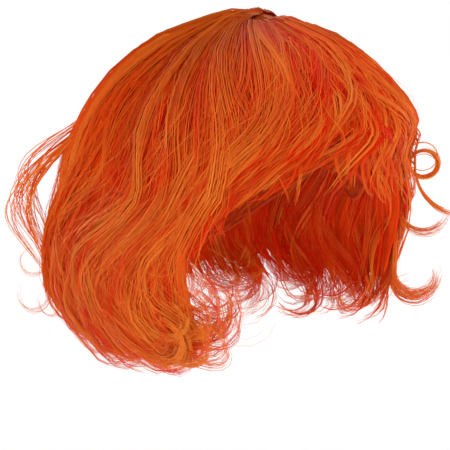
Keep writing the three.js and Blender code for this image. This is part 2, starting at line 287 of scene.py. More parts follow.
def add_curls(points, outward, rows):
    """The lines with an arc at each tip, and the outward directions turned with it."""
    end, facing = points[:, -1], outward[:, -1]
    down = unit(end - points[:, -3])
    sideways = unit(np.cross([0, 0, 1], facing))
    heading = np.radians(rows[:, COLUMN["heading"]])[:, None]
    inward = facing * np.cos(heading) + sideways * np.sin(heading)
    inward = unit(inward - down * np.sum(inward * down, axis=1, keepdims=True))
    axis = np.cross(down, inward)[:, None]
    steps = np.linspace(0, 1, CURL_SAMPLES + 1)[1:]
    angle = (np.radians(rows[:, COLUMN["turn"]])[:, None] * steps)[..., None]
    radius = rows[:, COLUMN["radius"]][:, None, None]
    curl = end[:, None] + radius * (np.sin(angle) * down[:, None] + (1 - np.cos(angle)) * inward[:, None])
    facing = facing[:, None]
    along_axis = np.sum(axis * facing, axis=-1, keepdims=True)
    turned = facing * np.cos(angle) + np.cross(axis, facing) * np.sin(angle)
    turned = turned + axis * along_axis * (1 - np.cos(angle))
    return np.concatenate([points, curl], axis=1), np.concatenate([outward, turned], axis=1)


def even_lines(points, outward, count):
    """Each line again with count points, closer where it bends, and its across and off directions."""
    made = []
    for line in np.concatenate([points, outward], axis=-1):
        legs = np.diff(line[:, :3], axis=0)
        steps = np.linalg.norm(legs, axis=1)
        turns = np.linalg.norm(np.diff(unit(legs), axis=0, append=unit(legs)[-1:]), axis=1)
        run = np.concatenate([[0], np.cumsum(steps + BEND_WEIGHT * turns + 1e-6)])
        at = np.linspace(0, run[-1], count)
        at[1:-1] += rng.uniform(-SPACING_SHIFT, SPACING_SHIFT) * at[1]
        made.append(np.stack([np.interp(at, run, values) for values in line.T], axis=1))
    lines, facing = np.split(np.array(made), 2, axis=-1)
    along = unit(np.gradient(lines, axis=1))
    across = unit(np.cross(along, facing))
    return lines, across, np.cross(across, along)


print("each line has", FALL_SAMPLES, "samples in its fall and", CURL_SAMPLES, "in its curl")

# %% [markdown]
# Fine locks. Each section mixes its rows into many thin lines at several depths. Lines near the same
# row drift towards it as they fall and share its curl, which is what makes hair gather into locks.

# %% Fine locks of a section
LAYERS = {  # part of the lines, range of depth, range of roots
    "outer": (0.62, (-0.03, 0.07), (0.0, 0.22)),
    "middle": (0.12, (0.1, 0.3), (0.1, 0.4)),
    "inner": (0.26, (0.9, 1.04), (0.3, 0.5)),
}
CROWDING = {"right_side_hair": 0.75}  # under 1 crowds fine locks towards the last row
GATHER = (0, 0, 0, 0.1, 0.3, 0.48, 0.58)  # drift of fine locks to their lock, by station
WANDER = (0, 2.4, 3.2, 3.2, 3.2, 3.2, 3.2)  # degrees that they stray, by station
BANDS = ((1.1, 0.6), (2.6, 0.4))  # raised bands to a lock, which get painted highlight, and their strengths
BAND_RISE = 0.08  # of the curtain's depth, by which the bands rise
EDGE_INSET = 0.03  # of a lock, at both edges of a section
TIP_SPREAD = 6.0
INNER_SHORTER = 8.0  # the innermost locks end higher
CURL_SPREAD = {"turn": (0.7, 1.2), "radius": (0.75, 1.1)}  # times the lock's own
HEADING_SPREAD = 18.0  # degrees either way
WAVE_SPREAD = {  # radians, waves in a fall, degrees, mm
    "phase": (0, 2 * np.pi),
    "count": (2.2, 3.2),
    "azimuth": (0.4, 1.8),
    "lift": (0.8, 3.0),
}


def mixed_rows(locks, place):
    """Rows between a section's rows, at any places counted in locks."""
    low = np.clip(np.floor(place), 0, len(locks) - 2).astype(int)
    part = (place - low)[:, None]
    return locks[low] * (1 - part) + locks[low + 1] * part


def fine_rows(section, count):
    """Rows for count fine locks with their roots, depths, waves and bands."""
    locks = np.array(LOCKS[section], float)
    spread = ((np.arange(count) + rng.random(count)) / count) ** CROWDING.get(section, 1.0)
    place = rng.permutation(spread) * (len(locks) - 2 * EDGE_INSET) - (0.5 - EDGE_INSET)
    band = sum(size * np.sin(2 * np.pi * (each * place + rng.random())) for each, size in BANDS)
    rows = mixed_rows(locks, place)
    nearest = np.clip(np.rint(place), 0, len(locks) - 1).astype(int)
    rows[:, WAY] += (locks[nearest, WAY] - rows[:, WAY]) * GATHER
    rows[:, WAY] += rng.normal(0, 1, (count, len(AZIMUTHS))) * WANDER
    curl = slice(COLUMN["turn"], COLUMN["heading"] + 1)
    rows[:, curl] = locks[nearest, curl]
    layer = np.sort(rng.random(count))
    edges = np.cumsum([share for share, _, _ in LAYERS.values()])
    depth, root = np.zeros(count), np.zeros(count)
    for i, (_, depths, roots) in enumerate(LAYERS.values()):
        inside = (layer <= edges[i]) & (layer > (edges[i - 1] if i else 0))
        depth[inside] = rng.uniform(*depths, inside.sum())
        near_whorl = rng.random(inside.sum()) ** 2
        root[inside] = roots[0] + (roots[1] - roots[0]) * near_whorl
    depth -= BAND_RISE * band
    rows[:, COLUMN["tip_z"]] += rng.normal(0, TIP_SPREAD, count) + INNER_SHORTER * depth
    for name, span in CURL_SPREAD.items():
        rows[:, COLUMN[name]] *= rng.uniform(*span, count)
    rows[:, COLUMN["heading"]] += rng.uniform(-HEADING_SPREAD, HEADING_SPREAD, count)
    wave = {name: rng.uniform(*span, count) for name, span in WAVE_SPREAD.items()}
    return rows, root, depth, wave, band


print("fine locks lie in", len(LAYERS), "layers:", ", ".join(LAYERS))

# %% [markdown]
# Node graphs. Both the strand maker and the finishes are node trees, and long chains of links are hard
# to read. One small class wraps a socket, so that sums are written as Python sums, and one method
# adds any other node from its type, the values or links of its sockets, and its settings.

# %% Sockets that do arithmetic
class Wire:
    """A socket with arithmetic: numbers use Math nodes, vectors and colours Vector Math nodes."""

    def __init__(self, graph, socket):
        self.graph = graph
        self.socket = socket

    def other(self, name):
        return Wire(self.graph, self.socket.node.outputs[name])

    def _pair(self, operation, first, second):
        kinds = [item.socket.type for item in (first, second) if isinstance(item, Wire)]
        vector = "VECTOR" in kinds or "RGBA" in kinds
        kind = "ShaderNodeVectorMath" if vector else "ShaderNodeMath"
        return self.graph.node(kind, {0: first, 1: second}, operation=operation)

    def __add__(self, value):
        return self._pair("ADD", self, value)

    def __sub__(self, value):
        return self._pair("SUBTRACT", self, value)

    def __rsub__(self, value):
        return self._pair("SUBTRACT", value, self)

    def __mul__(self, value):
        return self._pair("MULTIPLY", self, value)

    def __truediv__(self, value):
        return self._pair("DIVIDE", self, value)

    def __pow__(self, value):
        return self._pair("POWER", self, value)

    def scaled(self, factor):
        return self.graph.node("ShaderNodeVectorMath", {0: self, "Scale": factor}, operation="SCALE")


class Graph:
    """A node tree with one method that adds any node."""

    def __init__(self, tree):
        self.tree = tree

    def node(self, kind, inputs=None, **settings):
        made = self.tree.nodes.new(kind)
        for name, value in settings.items():
            setattr(made, name, value)
        for key, value in (inputs or {}).items():
            shown = [socket for socket in made.inputs if socket.enabled]
            socket = shown[key] if isinstance(key, int) else next(s for s in shown if s.name == key)
            if isinstance(value, Wire):
                self.tree.links.new(value.socket, socket)
            else:
                socket.default_value = value
        shown = [socket for socket in made.outputs if socket.enabled]
        return Wire(self, shown[0]) if shown else made


# %% [markdown]
# The strand maker. A lock's line is copied many times. Each copy is pushed to its own place across and
# through the lock, roughened, cut to its own length and swept as a thin three-sided tube that tapers.
# Hair particles could do this too, but a node tree gives a plain mesh with attributes for its colour.

# %% Geometry Nodes: strands from lock lines
STRAND_INPUTS = {
    "Lines": "Geometry",
    "Strands in a lock": "Int",
    "Strand radius": "Float",
    "Frizz": "Float",
    "Shortest strand": "Float",
    "Seed": "Int",
    "Map columns": "Int",
    "Finish": "Material",
}
LOCK_ROUND = 1.2  # half depths from a lock's middle down to its sides
LOCK_LOOSE = 0.3  # half depths off that curve
FRIZZ_GRAIN = 55.0  # noise cells a metre
CALM_FRIZZ = 0.5  # of the frizz, on every strand
WILD_FRIZZ = 2.5  # of the frizz, added on the wildest
WILD_POWER = 8  # the higher, the fewer are wild
STRAND_SPREAD = (0.55, 1.4)  # times the strand radius
TIP_WIDTH = 0.3  # of the width at the root
STRAND_SIDES = 3
MIDDLE_HIGHLIGHT = 0.3  # painted highlight: how much lighter a lock's raised middle is
MAP_MARGIN = 0.15  # of a strand's cell in the texture map


def new_tree(name, inputs):
    """A Geometry Nodes tree with its sockets, as a graph."""
    tree = bpy.data.node_groups.new(name, "GeometryNodeTree")
    for label, kind in inputs.items():
        tree.interface.new_socket(label, in_out="INPUT", socket_type="NodeSocket" + kind)
    tree.interface.new_socket("Made", in_out="OUTPUT", socket_type="NodeSocketGeometry")
    return Graph(tree)


def close_tree(graph, geometry, finish):
    """The graph's tree, with geometry in its finish as the result."""
    plain = graph.node("GeometryNodeRealizeInstances", {0: geometry})
    finished = graph.node("GeometryNodeSetMaterial", {"Geometry": plain, "Material": finish})
    output = graph.tree.nodes.new("NodeGroupOutput")
    graph.tree.links.new(finished.socket, output.inputs[0])
    return graph.tree


def circle(graph, sides):
    inputs = {"Resolution": sides, "Radius": 1.0}
    return graph.node("GeometryNodeCurvePrimitiveCircle", inputs, mode="RADIUS")


def strand_tree():
    graph = new_tree("strands from lock lines", STRAND_INPUTS)
    lines = graph.node("NodeGroupInput")
    seed = lines.other("Seed")
    curves = graph.node("GeometryNodeMeshToCurve", {"Mesh": lines})
    amount = {"Geometry": curves, "Amount": lines.other("Strands in a lock")}
    copies = graph.node("GeometryNodeDuplicateElements", amount, domain="SPLINE")

    def attribute(name, kind="FLOAT"):
        return graph.node("GeometryNodeInputNamedAttribute", {"Name": name}, data_type=kind)

    def chance(low, high, salt):
        """A number for each strand, the same all along it."""
        draw = graph.node("FunctionNodeRandomValue", {0: low, 1: high, "Seed": seed + salt})
        return graph.node("GeometryNodeFieldOnDomain", {0: draw}, domain="CURVE", data_type="FLOAT")

    along = attribute("along")
    side = chance(-1.0, 1.0, 1)
    edge = side * side
    rise = 1 - edge * LOCK_ROUND + chance(-LOCK_LOOSE, LOCK_LOOSE, 2)
    sideways = attribute("across", "FLOAT_VECTOR").scaled(attribute("half_width") * side)
    outwards = attribute("off", "FLOAT_VECTOR").scaled(attribute("half_depth") * rise)
    spread = graph.node("GeometryNodeSetPosition", {"Geometry": copies, "Offset": sideways + outwards})
    place = graph.node("GeometryNodeInputPosition")
    noise = graph.node(
        "ShaderNodeTexNoise",
        {"Vector": place, "W": chance(0.0, 40.0, 3), "Scale": FRIZZ_GRAIN, "Detail": 1.0},
        noise_dimensions="4D",
    ).other("Color")
    wild = chance(0.0, 1.0, 4) ** WILD_POWER * WILD_FRIZZ + CALM_FRIZZ
    rough = (noise - (0.5, 0.5, 0.5)).scaled(wild * along * 2.0 * lines.other("Frizz"))
    frizzed = graph.node("GeometryNodeSetPosition", {"Geometry": spread, "Offset": rough})
    shortest = lines.other("Shortest strand")
    length = chance(0.0, 1.0, 5) ** 0.5 * (1 - shortest) + shortest
    trimmed = {"Curve": frizzed, "Start": 0.0, "End": length}
    cut = graph.node("GeometryNodeTrimCurve", trimmed, mode="FACTOR")
    run = graph.node("GeometryNodeSplineParameter")
    taper = 1 - run**3 * (1 - TIP_WIDTH)
    radius = lines.other("Strand radius") * chance(*STRAND_SPREAD, 6) * taper
    number = graph.node("GeometryNodeInputIndex")
    strand = graph.node("GeometryNodeFieldOnDomain", {0: number}, domain="CURVE", data_type="INT")

    def store(geometry, name, value, kind="FLOAT", domain="POINT"):
        inputs = {"Geometry": geometry, "Name": name, "Value": value}
        return graph.node("GeometryNodeStoreNamedAttribute", inputs, data_type=kind, domain=domain)

    # A random tint for each strand, with painted highlight on the lock's raised middle.
    tint = chance(0.0, 1 - MIDDLE_HIGHLIGHT, 7) + (1 - edge) * MIDDLE_HIGHLIGHT
    tinted = store(store(cut, "tint", tint), "strand", strand)
    profile = store(circle(graph, STRAND_SIDES), "side", number / (STRAND_SIDES - 1))
    tube = {"Curve": tinted, "Profile Curve": profile, "Scale": radius, "Fill Caps": True}
    swept = graph.node("GeometryNodeCurveToMesh", tube)
    columns = lines.other("Map columns")
    row = graph.node("ShaderNodeMath", {0: attribute("strand") / columns}, operation="FLOOR")
    column = attribute("strand") - row * columns
    inset = lambda value: value * (1 - 2 * MAP_MARGIN) + MAP_MARGIN
    across = (column + inset(attribute("side"))) / columns
    cell = graph.node("ShaderNodeCombineXYZ", {0: across, 1: (row + inset(along)) / columns})
    mapped = store(swept, "OFBake", cell, "FLOAT2", "CORNER")
    flat = graph.node("GeometryNodeSetShadeSmooth", {0: mapped, "Shade Smooth": False})
    return close_tree(graph, flat, lines.other("Finish"))


STRANDS = strand_tree()
print("strand tree has", len(STRANDS.nodes), "nodes")

# %% [markdown]
# The hair's finish. The fibre is a soft-sheen synthetic, orange, with deep red painted as shade where light
# has bounced between strands. Each strand has its own tint between two oranges and painted light makes it
# lighter as it falls. The roots get painted shade, red or brown, and a whole lock may be lighter or darker
# than the next.

# %% Finishes of the hair
def make_finish(name, sockets_of):
    """A finish whose shader has the sockets that a function makes in its graph."""
    finish = bpy.data.materials.new(name)
    finish.use_nodes = True
    finish.node_tree.nodes.clear()
    graph = Graph(finish.node_tree)
    shader = graph.node("ShaderNodeBsdfPrincipled", sockets_of(graph))
    output = graph.tree.nodes.new("ShaderNodeOutputMaterial")
    graph.tree.links.new(shader.socket, output.inputs["Surface"])
    return finish


def mix_colours(graph, factor, first, second):
    return graph.node("ShaderNodeMix", {"Factor": factor, "A": first, "B": second}, data_type="RGBA")


def value_of(graph, name):
    return graph.node("ShaderNodeAttribute", attribute_name=name).other("Fac")


DEEP_ORANGE = (0.84, 0.012, 0.0005, 1)
BRIGHT_ORANGE = (0.95, 0.28, 0.034, 1)
# Painted shade at the roots, red or brown.
ROOT_SHADE_RED = (0.46, 0.02, 0.001, 1)
ROOT_SHADE_BROWN = (0.54, 0.125, 0.007, 1)
UNDER_RED = (0.9, 0.02, 0.0006, 1)
UNDER_ORANGE = (0.95, 0.1, 0.006, 1)
WARM_GLOSS = (1.0, 0.4, 0.08, 1)
BAND_PACE = 15.0  # radians of bands along a strand
BAND_SHIFT = 40.0  # radians from the darkest lock to the lightest
STRAND_TINT = 0.5  # weights of a strand's own tint and of its bands; its lock's is 1
BAND_TINT = 0.14
LEAST_TINT = -0.42
BROWN_GAIN = 1.8  # the higher, the fewer roots get red painted shade
ROOT_GAIN = 1.25  # how far painted root shade covers a strand of no tint


def hair_sockets(graph):
    lock = value_of(graph, "lock_tint")
    fallen = value_of(graph, "fallen")
    waves = value_of(graph, "along") * BAND_PACE + lock * BAND_SHIFT
    band = graph.node("ShaderNodeMath", {0: waves}, operation="SINE")
    # Painted light: lower hair lighter and upper hair darker, as the light falls on it.
    painted_light_by_fall = {"Value": fallen, "From Min": 0.3, "From Max": 1.0, "To Min": -0.16, "To Max": 0.27}
    lighter = graph.node("ShaderNodeMapRange", painted_light_by_fall)
    tint = value_of(graph, "tint") * STRAND_TINT + lock + band * BAND_TINT + LEAST_TINT + lighter
    # Painted shade towards the whorl: red on strands of low tint, brown on the rest.
    rising = {"Value": fallen, "From Min": 0.45, "From Max": 0.0, "To Max": 0.95}
    root = graph.node("ShaderNodeMapRange", rising, interpolation_type="SMOOTHSTEP")
    fibre = mix_colours(graph, tint, DEEP_ORANGE, BRIGHT_ORANGE)
    root_shade = mix_colours(graph, tint * BROWN_GAIN, ROOT_SHADE_RED, ROOT_SHADE_BROWN)
    return {
        "Base Color": mix_colours(graph, root * (ROOT_GAIN - tint), fibre, root_shade),
        "Roughness": 0.5 - tint * 0.14,
        "Specular IOR Level": 0.3,
        "Specular Tint": WARM_GLOSS,
    }


def mat_sockets(graph):
    flow = graph.node("ShaderNodeUVMap", uv_map="flow")
    broad = graph.node("ShaderNodeTexNoise", {"Vector": flow, "Scale": 0.25, "Detail": 1.0})
    fine = graph.node("ShaderNodeTexNoise", {"Vector": flow, "Scale": 0.9, "Detail": 3.0})
    mixed = broad * 0.5 + fine * 0.5
    streak = graph.node("ShaderNodeMapRange", {"Value": mixed, "From Min": 0.36, "From Max": 0.64})
    return {
        "Base Color": mix_colours(graph, streak, UNDER_RED, UNDER_ORANGE),
        "Roughness": 0.65 - streak * 0.1,
        "Normal": graph.node("ShaderNodeBump", {"Height": fine, "Strength": 1.0, "Distance": 1.2 * MM}),
        "Specular IOR Level": 0.15,
        "Specular Tint": WARM_GLOSS,
    }


HAIR = make_finish("orange_fibre", hair_sockets)
MAT = make_finish("under_hair", mat_sockets)
print("finishes:", HAIR.name, MAT.name)

# %% [markdown]
# Growing the sections. The lines become a mesh of bare edges with the directions and widths that the
# strand maker reads, the tree runs on it, and its result is kept as a plain mesh. Each section stands
# for its own solid, and one too large for a single mesh is grown as two.

# %% Strands of the four sections
TONE = {"fringe": 0.33}  # middle tint of a section
PLAIN_TONE = 0.5
BAND_HIGHLIGHT_AND_SHADE = 0.4  # painted highlight on raised bands and painted shade between them
TONE_SPREAD = 0.14
INNER_SHADE = 0.3  # painted shade, taken off a lock's tint by its depth, most on the innermost locks
ROOT_WIDTH = 0.45  # of the full width, which is reached at WIDEST
WIDEST = 0.2
GATHERED = 0.7  # of the width, lost from NARROWS to the tip
NARROWS = 0.5
LOCK_DEPTH = 0.22  # of a lock's width
STYLES = {  # strand radius, frizz, part of its line in the shortest strand
    "strands": (0.32, 1.8, 0.88),
    "strays": (0.28, 1.2, 0.85),
    "flyaways": (0.2, 3.0, 0.8),
}
GROWN = [  # piece, section, fine locks, half width, points, strands in a lock
    ("fringe_strands", "fringe", 160, 4.6, 18, 11),
    ("right_side_strands", "right_side_hair", 125, 5.6, 24, 11),
    ("left_side_strands", "left_side_hair", 115, 5.6, 22, 11),
    ("back_strands", "back_hair", 125, 7.0, 22, 11),
    ("back_under_strands", "back_hair", 36, 7.0, 22, 10),
]


def line_object(name, lines, values):
    """Bare edges along the lines, with what the strand maker reads at each point."""
    count, points = lines.shape[:2]
    mesh = bpy.data.meshes.new(name)
    order = np.arange(count * points).reshape(count, points)
    edges = np.stack([order[:, :-1], order[:, 1:]], axis=-1).reshape(-1, 2)
    mesh.from_pydata((lines.reshape(-1, 3) * MM).tolist(), edges.tolist(), [])
    for label, table in values.items():
        kind, key = ("FLOAT_VECTOR", "vector") if table.ndim == 3 else ("FLOAT", "value")
        layer = mesh.attributes.new(label, kind, "POINT")
        layer.data.foreach_set(key, table.astype(np.float32).ravel())
    return add_object(name, mesh)


def run_tree(source, tree, settings):
    """The tree's result on source as a new plain object that takes source's place."""
    modifier = source.modifiers.new("made by nodes", "NODES")
    modifier.node_group = tree
    sockets = {item.name: item.identifier for item in tree.interface.items_tree if item.in_out == "INPUT"}
    for label, value in settings.items():
        modifier[sockets[label]] = value
    depsgraph = bpy.context.evaluated_depsgraph_get()
    mesh = bpy.data.meshes.new_from_object(source.evaluated_get(depsgraph))
    name = source.name
    bpy.data.objects.remove(source)
    mesh.name = name
    return add_object(name, mesh)


def grow(name, style, lines_of, lock_width, points, strands, seed):
    """One piece of strands round the lines of many locks."""
    radius, frizz, shortest = STYLES[style]
    lines, across, off = even_lines(*lines_of["lines"], points)
    along = np.broadcast_to(np.linspace(0, 1, points), lines.shape[:2])
    opening = ROOT_WIDTH + (1 - ROOT_WIDTH) * smooth(along, 0, WIDEST)
    widen = opening * (1 - GATHERED * smooth(along, NARROWS, 1))
    values = {
        "across": across,
        "off": off,
        "along": along,
        "fallen": lines_of["root"][:, None] * (1 - along) + along,
        "half_width": lock_width * MM * widen,
        "half_depth": LOCK_DEPTH * lock_width * MM * widen,
        "lock_tint": np.broadcast_to(lines_of["tint"][:, None], lines.shape[:2]),
    }
    source = line_object(name, lines, values)
    settings = {
        "Strands in a lock": strands,
        "Strand radius": radius * MM,
        "Frizz": frizz * MM,
        "Shortest strand": shortest,
        "Seed": seed,
        "Map columns": math.ceil(math.sqrt(len(lines) * strands)),
        "Finish": HAIR,
    }
    piece = run_tree(source, STRANDS, settings)
    print(name, len(lines), "locks", len(piece.data.polygons), "faces")
    return piece


def section_lines(section, count):
    rows, root, depth, wave, band = fine_rows(section, count)
    # Each lock's random tone, with painted highlight on raised bands and painted shade between them.
    tint = TONE.get(section, PLAIN_TONE) + BAND_HIGHLIGHT_AND_SHADE * band + rng.normal(0, TONE_SPREAD, count)
    # Painted shade: deeper locks get a darker, redder tint.
    tint = np.clip(tint - INNER_SHADE * depth, 0, 1)
    return {"lines": lock_lines(section, rows, root, depth, wave), "root": root, "tint": tint}


for i, (name, section, count, width, points, strands) in enumerate(GROWN):
    piece = grow(name, "strands", section_lines(section, count), width, points, strands, SEED + i)
    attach(piece, "root")
    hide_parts(section)

# %% [markdown]
# Strays. Some locks stand away from the mass: an arch behind the right ear, a ring curl by the left
# temple, flicks and loops at the hem. They are rows of the same columns, with few strands each. A last
# scatter of single fibres softens the outline, as on any brushed wig.

# %% Locks and fibres that stand clear
STRAY_AZIMUTHS = ("root", "middle", "tip")
STRAY_COLUMNS = STRAY_AZIMUTHS + LOCK_COLUMNS[len(AZIMUTHS):] + ("clear", "strands", "half_width")
STRAYS = {
    "left_side_hair": [
        (46, 49, 54, -88, 0, 350, 10.5, 0, 7, 40, 0.8),  # ring curl by the temple
        (50, 52, 55, -92, 0, 72, 38, 0, 11, 26, 1.2),  # two flicks that meet in a V
        (58, 60, 58, -120, 0, 170, 18, 0, 0, 26, 1.2),
        (68, 68, 66, -173, 0, 195, 17, 0, 0, 46, 2.4),  # flick at the hem
        (62, 64, 62, -168, 0, 175, 17, 0, 0, 34, 2.0),
        (64, 74, 78, -172, 4, 130, 14, -20, 0, 16, 2.4),
    ],
    "back_hair": [
        (222, 224, 226, -168, 27, 20, 18, 0, 0, 11, 6.0),  # arch behind the right ear
        (227, 230, 229, -174, 36, 0, 18, 0, 0, 18, 7.0),
        (232, 234, 231, -170, 25, 0, 18, 0, 0, 12, 6.0),
        (229, 231, 230, -150, 35, 30, 20, 90, 0, 8, 5.0),
        (226, 228, 229, -164, 8, 260, 11, 0, 0, 4, 1.0),  # thin loops
        (230, 231, 232, -184, 6, 230, 12, 20, 0, 4, 1.0),
        (222, 223, 224, -196, 5, 250, 10, -20, 0, 4, 1.0),
        (150, 151, 152, -178, 6, 220, 12, 0, 0, 4, 1.5),
        (186, 186, 186, -186, 6, 240, 11, 20, 0, 4, 1.5),
    ],
    "right_side_hair": [
        (-101, -110, -114, -186, 2, 260, 12, 172, 0, 16, 1.0),  # rings at the lowest tips
        (-93, -101, -106, -196, 2, 290, 13, 161, 0, 16, 1.0),
        (-85, -91, -94, -202, 2, 280, 14, 149, 0, 16, 1.0),
        (-50, -60, -44, -182, 2, 150, 20, -90, 0, 40, 1.8),  # loop at the front edge
        (-51, -59, -47, -176, 3, 165, 17, -90, 0, 26, 1.6),
        (-54, -64, -58, -186, 2, 225, 20, 85, 0, 30, 0.9),
        (-52, -62, -64, -187, 2, 270, 16, 85, 0, 26, 1.4),
    ],
    "fringe": [
        (26, 22, 20, -82, 2, 40, 30, 60, 0, 8, 2.0),
        (12, 0, -26, -84, 2, 30, 30, -90, 0, 12, 2.0),
        (-22, -24, -46, -106, 2, 30, 30, -90, 0, 12, 2.0),
    ],
}
STRAY = {name: i for i, name in enumerate(STRAY_COLUMNS)}
STRAY_MIDDLE = 0.6  # where the middle azimuth is
STRAY_ROOT = 0.3  # or CLEAR_ROOT for locks that stand clear all along
CLEAR_ROOT = 0.8
ROOT_SPREAD = 0.15
WAY_SPREAD = 0.28  # degrees for each millimetre of half width
STRAY_SPREAD = {"stand": (0.85, 1.1), "turn": (0.88, 1.08), "radius": (0.92, 1.06)}  # times the lock's
CLEAR_SPREAD = 0.4
LOOSE_DEPTH = {"strays": 0.04, "flyaways": -0.02}  # of the curtain's depth
LEAST_LOOSE_TINT = 0.4
FLYAWAYS = {"fringe": 230, "right_side_hair": 230, "left_side_hair": 110, "back_hair": 180}
SCATTER = 3.0  # degrees off its lock for a single fibre
DRIFT = 9.0  # degrees that it crosses over others on its way
FIBRE_STAND = 2.5  # usual distance off the form
MOST_STAND = 7.0
FIBRE_SHORTER = 18.0  # usual rise of its tip
FIBRE_LIFT = (1, 3.5)  # of its waves
LOOSE = {  # half width, points, strands to a line, first seed
    "strays": (1.2, 22, 2, SEED + 20),
    "flyaways": (2.0, 18, 1, SEED + 30),
}


def stray_lines(section):
    """Each stray lock's strands as lines of their own, so that every lock can have its own number."""
    table = np.array(STRAYS[section], float)
    table = np.repeat(table, table[:, STRAY["strands"]].astype(int), axis=0)
    width = table[:, STRAY["half_width"]]
    way = [np.interp(STATIONS, [0, STRAY_MIDDLE, 1], row[: len(STRAY_AZIMUTHS)]) for row in table]
    rows = np.concatenate([np.array(way), table[:, len(STRAY_AZIMUTHS) : STRAY["clear"]]], axis=1)
    count = len(rows)
    rows[:, WAY] += rng.normal(0, WAY_SPREAD, (count, 1)) * width[:, None]
    rows[:, COLUMN["stand"]] *= rng.uniform(*STRAY_SPREAD["stand"], count)
    rows[:, COLUMN["tip_z"]] += rng.normal(0, 1.0, count) * width
    for name in ("turn", "radius"):
        rows[:, COLUMN[name]] *= rng.uniform(*STRAY_SPREAD[name], count)
    clear = table[:, STRAY["clear"]]
    wave = {name: np.zeros(count) for name in ("phase", "count", "azimuth")}
    wave["lift"] = clear + rng.normal(0, CLEAR_SPREAD, count)
    root = np.where(clear > 0, CLEAR_ROOT, STRAY_ROOT) + rng.uniform(0, ROOT_SPREAD, count)
    return loose_lines("strays", section, rows, root, wave)


def flyaway_lines(section):
    """Single fibres that follow the fine locks less closely."""
    count = FLYAWAYS[section]
    rows, root, _, wave, _ = fine_rows(section, count)
    rows[:, WAY] += rng.normal(0, SCATTER, (count, 1))
    rows[:, WAY] += rng.normal(0, DRIFT, (count, 1)) * STATIONS
    rows[:, COLUMN["stand"]] = np.minimum(rng.exponential(FIBRE_STAND, count), MOST_STAND)
    rows[:, COLUMN["tip_z"]] += np.abs(rng.normal(0, FIBRE_SHORTER, count))
    wave["lift"] = rng.uniform(*FIBRE_LIFT, count)
    return loose_lines("flyaways", section, rows, root, wave)


def loose_lines(kind, section, rows, root, wave):
    tint = LEAST_LOOSE_TINT + (1 - LEAST_LOOSE_TINT) * rng.random(len(rows))
    lines = lock_lines(section, rows, root, np.full(len(rows), LOOSE_DEPTH[kind]), wave)
    return {"lines": lines, "root": root, "tint": tint}


for i, section in enumerate(STRAYS):
    for kind, lines_of in (("strays", stray_lines), ("flyaways", flyaway_lines)):
        width, points, strands, seed = LOOSE[kind]
        piece = grow(section + "_" + kind, kind, lines_of(section), width, points, strands, seed + i)
        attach(piece, "root")
        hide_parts(section)

# %% [markdown]
# The under hair. Between the strands one sees more hair, not the cap. A closed mat fills each section's
# curtain from a little under its surface to its inner face, and ends short of the tips in a thin edge.
# Its texture map runs across and along the hair, so that its streaks follow the locks.

# %% Mats under the strands
MAT_STEPS = {"across_each_lock": 12, "down": 34}
MAT_SINK = 5.6  # from the outer form to the mat
MAT_INNER = 0.85  # of the curtain's depth, at its inner face
MAT_END = {"fringe": 0.84, "right_side_hair": 1.0, "left_side_hair": 0.97, "back_hair": 0.99}
MAT_OVERLAP = 0.1  # of a lock, so that no slit opens where two sections meet
MAT_EDGE = 1.0  # where it is thinnest
END_TAPER = 0.7  # of its length, from where it thins
FREE_EDGE = {"left_side_hair": 0, "right_side_hair": -1}  # which side of a mat ends at the face
FREE_TAPER = 0.7  # locks over which that side thins
MAT_RAGGED = 0.035  # its end goes up and down
RAGS = ((1.0, 1.0, 0.6), (2.3, 0.0, 0.4))  # waves to a tress, shift in radians, strength
MAT_BULGE = 1.2
MAT_BULGES = 3.0  # rounded tresses to each lock
BULGES_GROW = (0.1, 0.3)
TRESS_SWAY = 5.0  # radians of sway, of its waves in a fall and of its shift at each lock
TRESS_WAVES = 9.0
TRESS_SHIFT = 5.0
DEEPEST_TOP = 0.55  # of the curtain's depth
WHORL_TOP = 0.45  # the same by the whorl, until WHORL_FADES
WHORL_FADES = (0.04, 0.22)
LOCK_PITCH = 24.0  # from one lock to the next
FLOW_LENGTH = 34.0  # along the hair, for one unit of the map


def mesh_object(name, points, faces, finish):
    """A smooth mesh from points in millimetres."""
    mesh = bpy.data.meshes.new(name)
    mesh.from_pydata((points.reshape(-1, 3) * MM).tolist(), [], faces)
    mesh.polygons.foreach_set("use_smooth", [True] * len(mesh.polygons))
    mesh.materials.append(finish)
    return add_object(name, mesh)


def closed_mesh(name, rings, maps):
    """A band lofted through closed rings, with flat ends and a map value for each point."""
    count, around = rings.shape[:2]
    order = np.arange(count * around).reshape(count, around)
    following = np.roll(order, -1, axis=1)
    quads = np.stack([order[:-1], following[:-1], following[1:], order[1:]], axis=-1).reshape(-1, 4)
    ends = []
    for ring, turned in ((order[0], True), (order[-1], False)):
        for k in range(around // 2 - 1):
            quad = [ring[k], ring[k + 1], ring[around - k - 2], ring[around - k - 1]]
            ends.append(quad[::-1] if turned else quad)
    made = mesh_object(name, rings, quads.tolist() + ends, MAT)
    flow = made.data.uv_layers.new(name="flow")
    corners = np.empty(len(made.data.loops), int)
    made.data.loops.foreach_get("vertex_index", corners)
    flow.data.foreach_set("uv", maps.reshape(-1, 2)[corners].astype(np.float32).ravel())
    return made


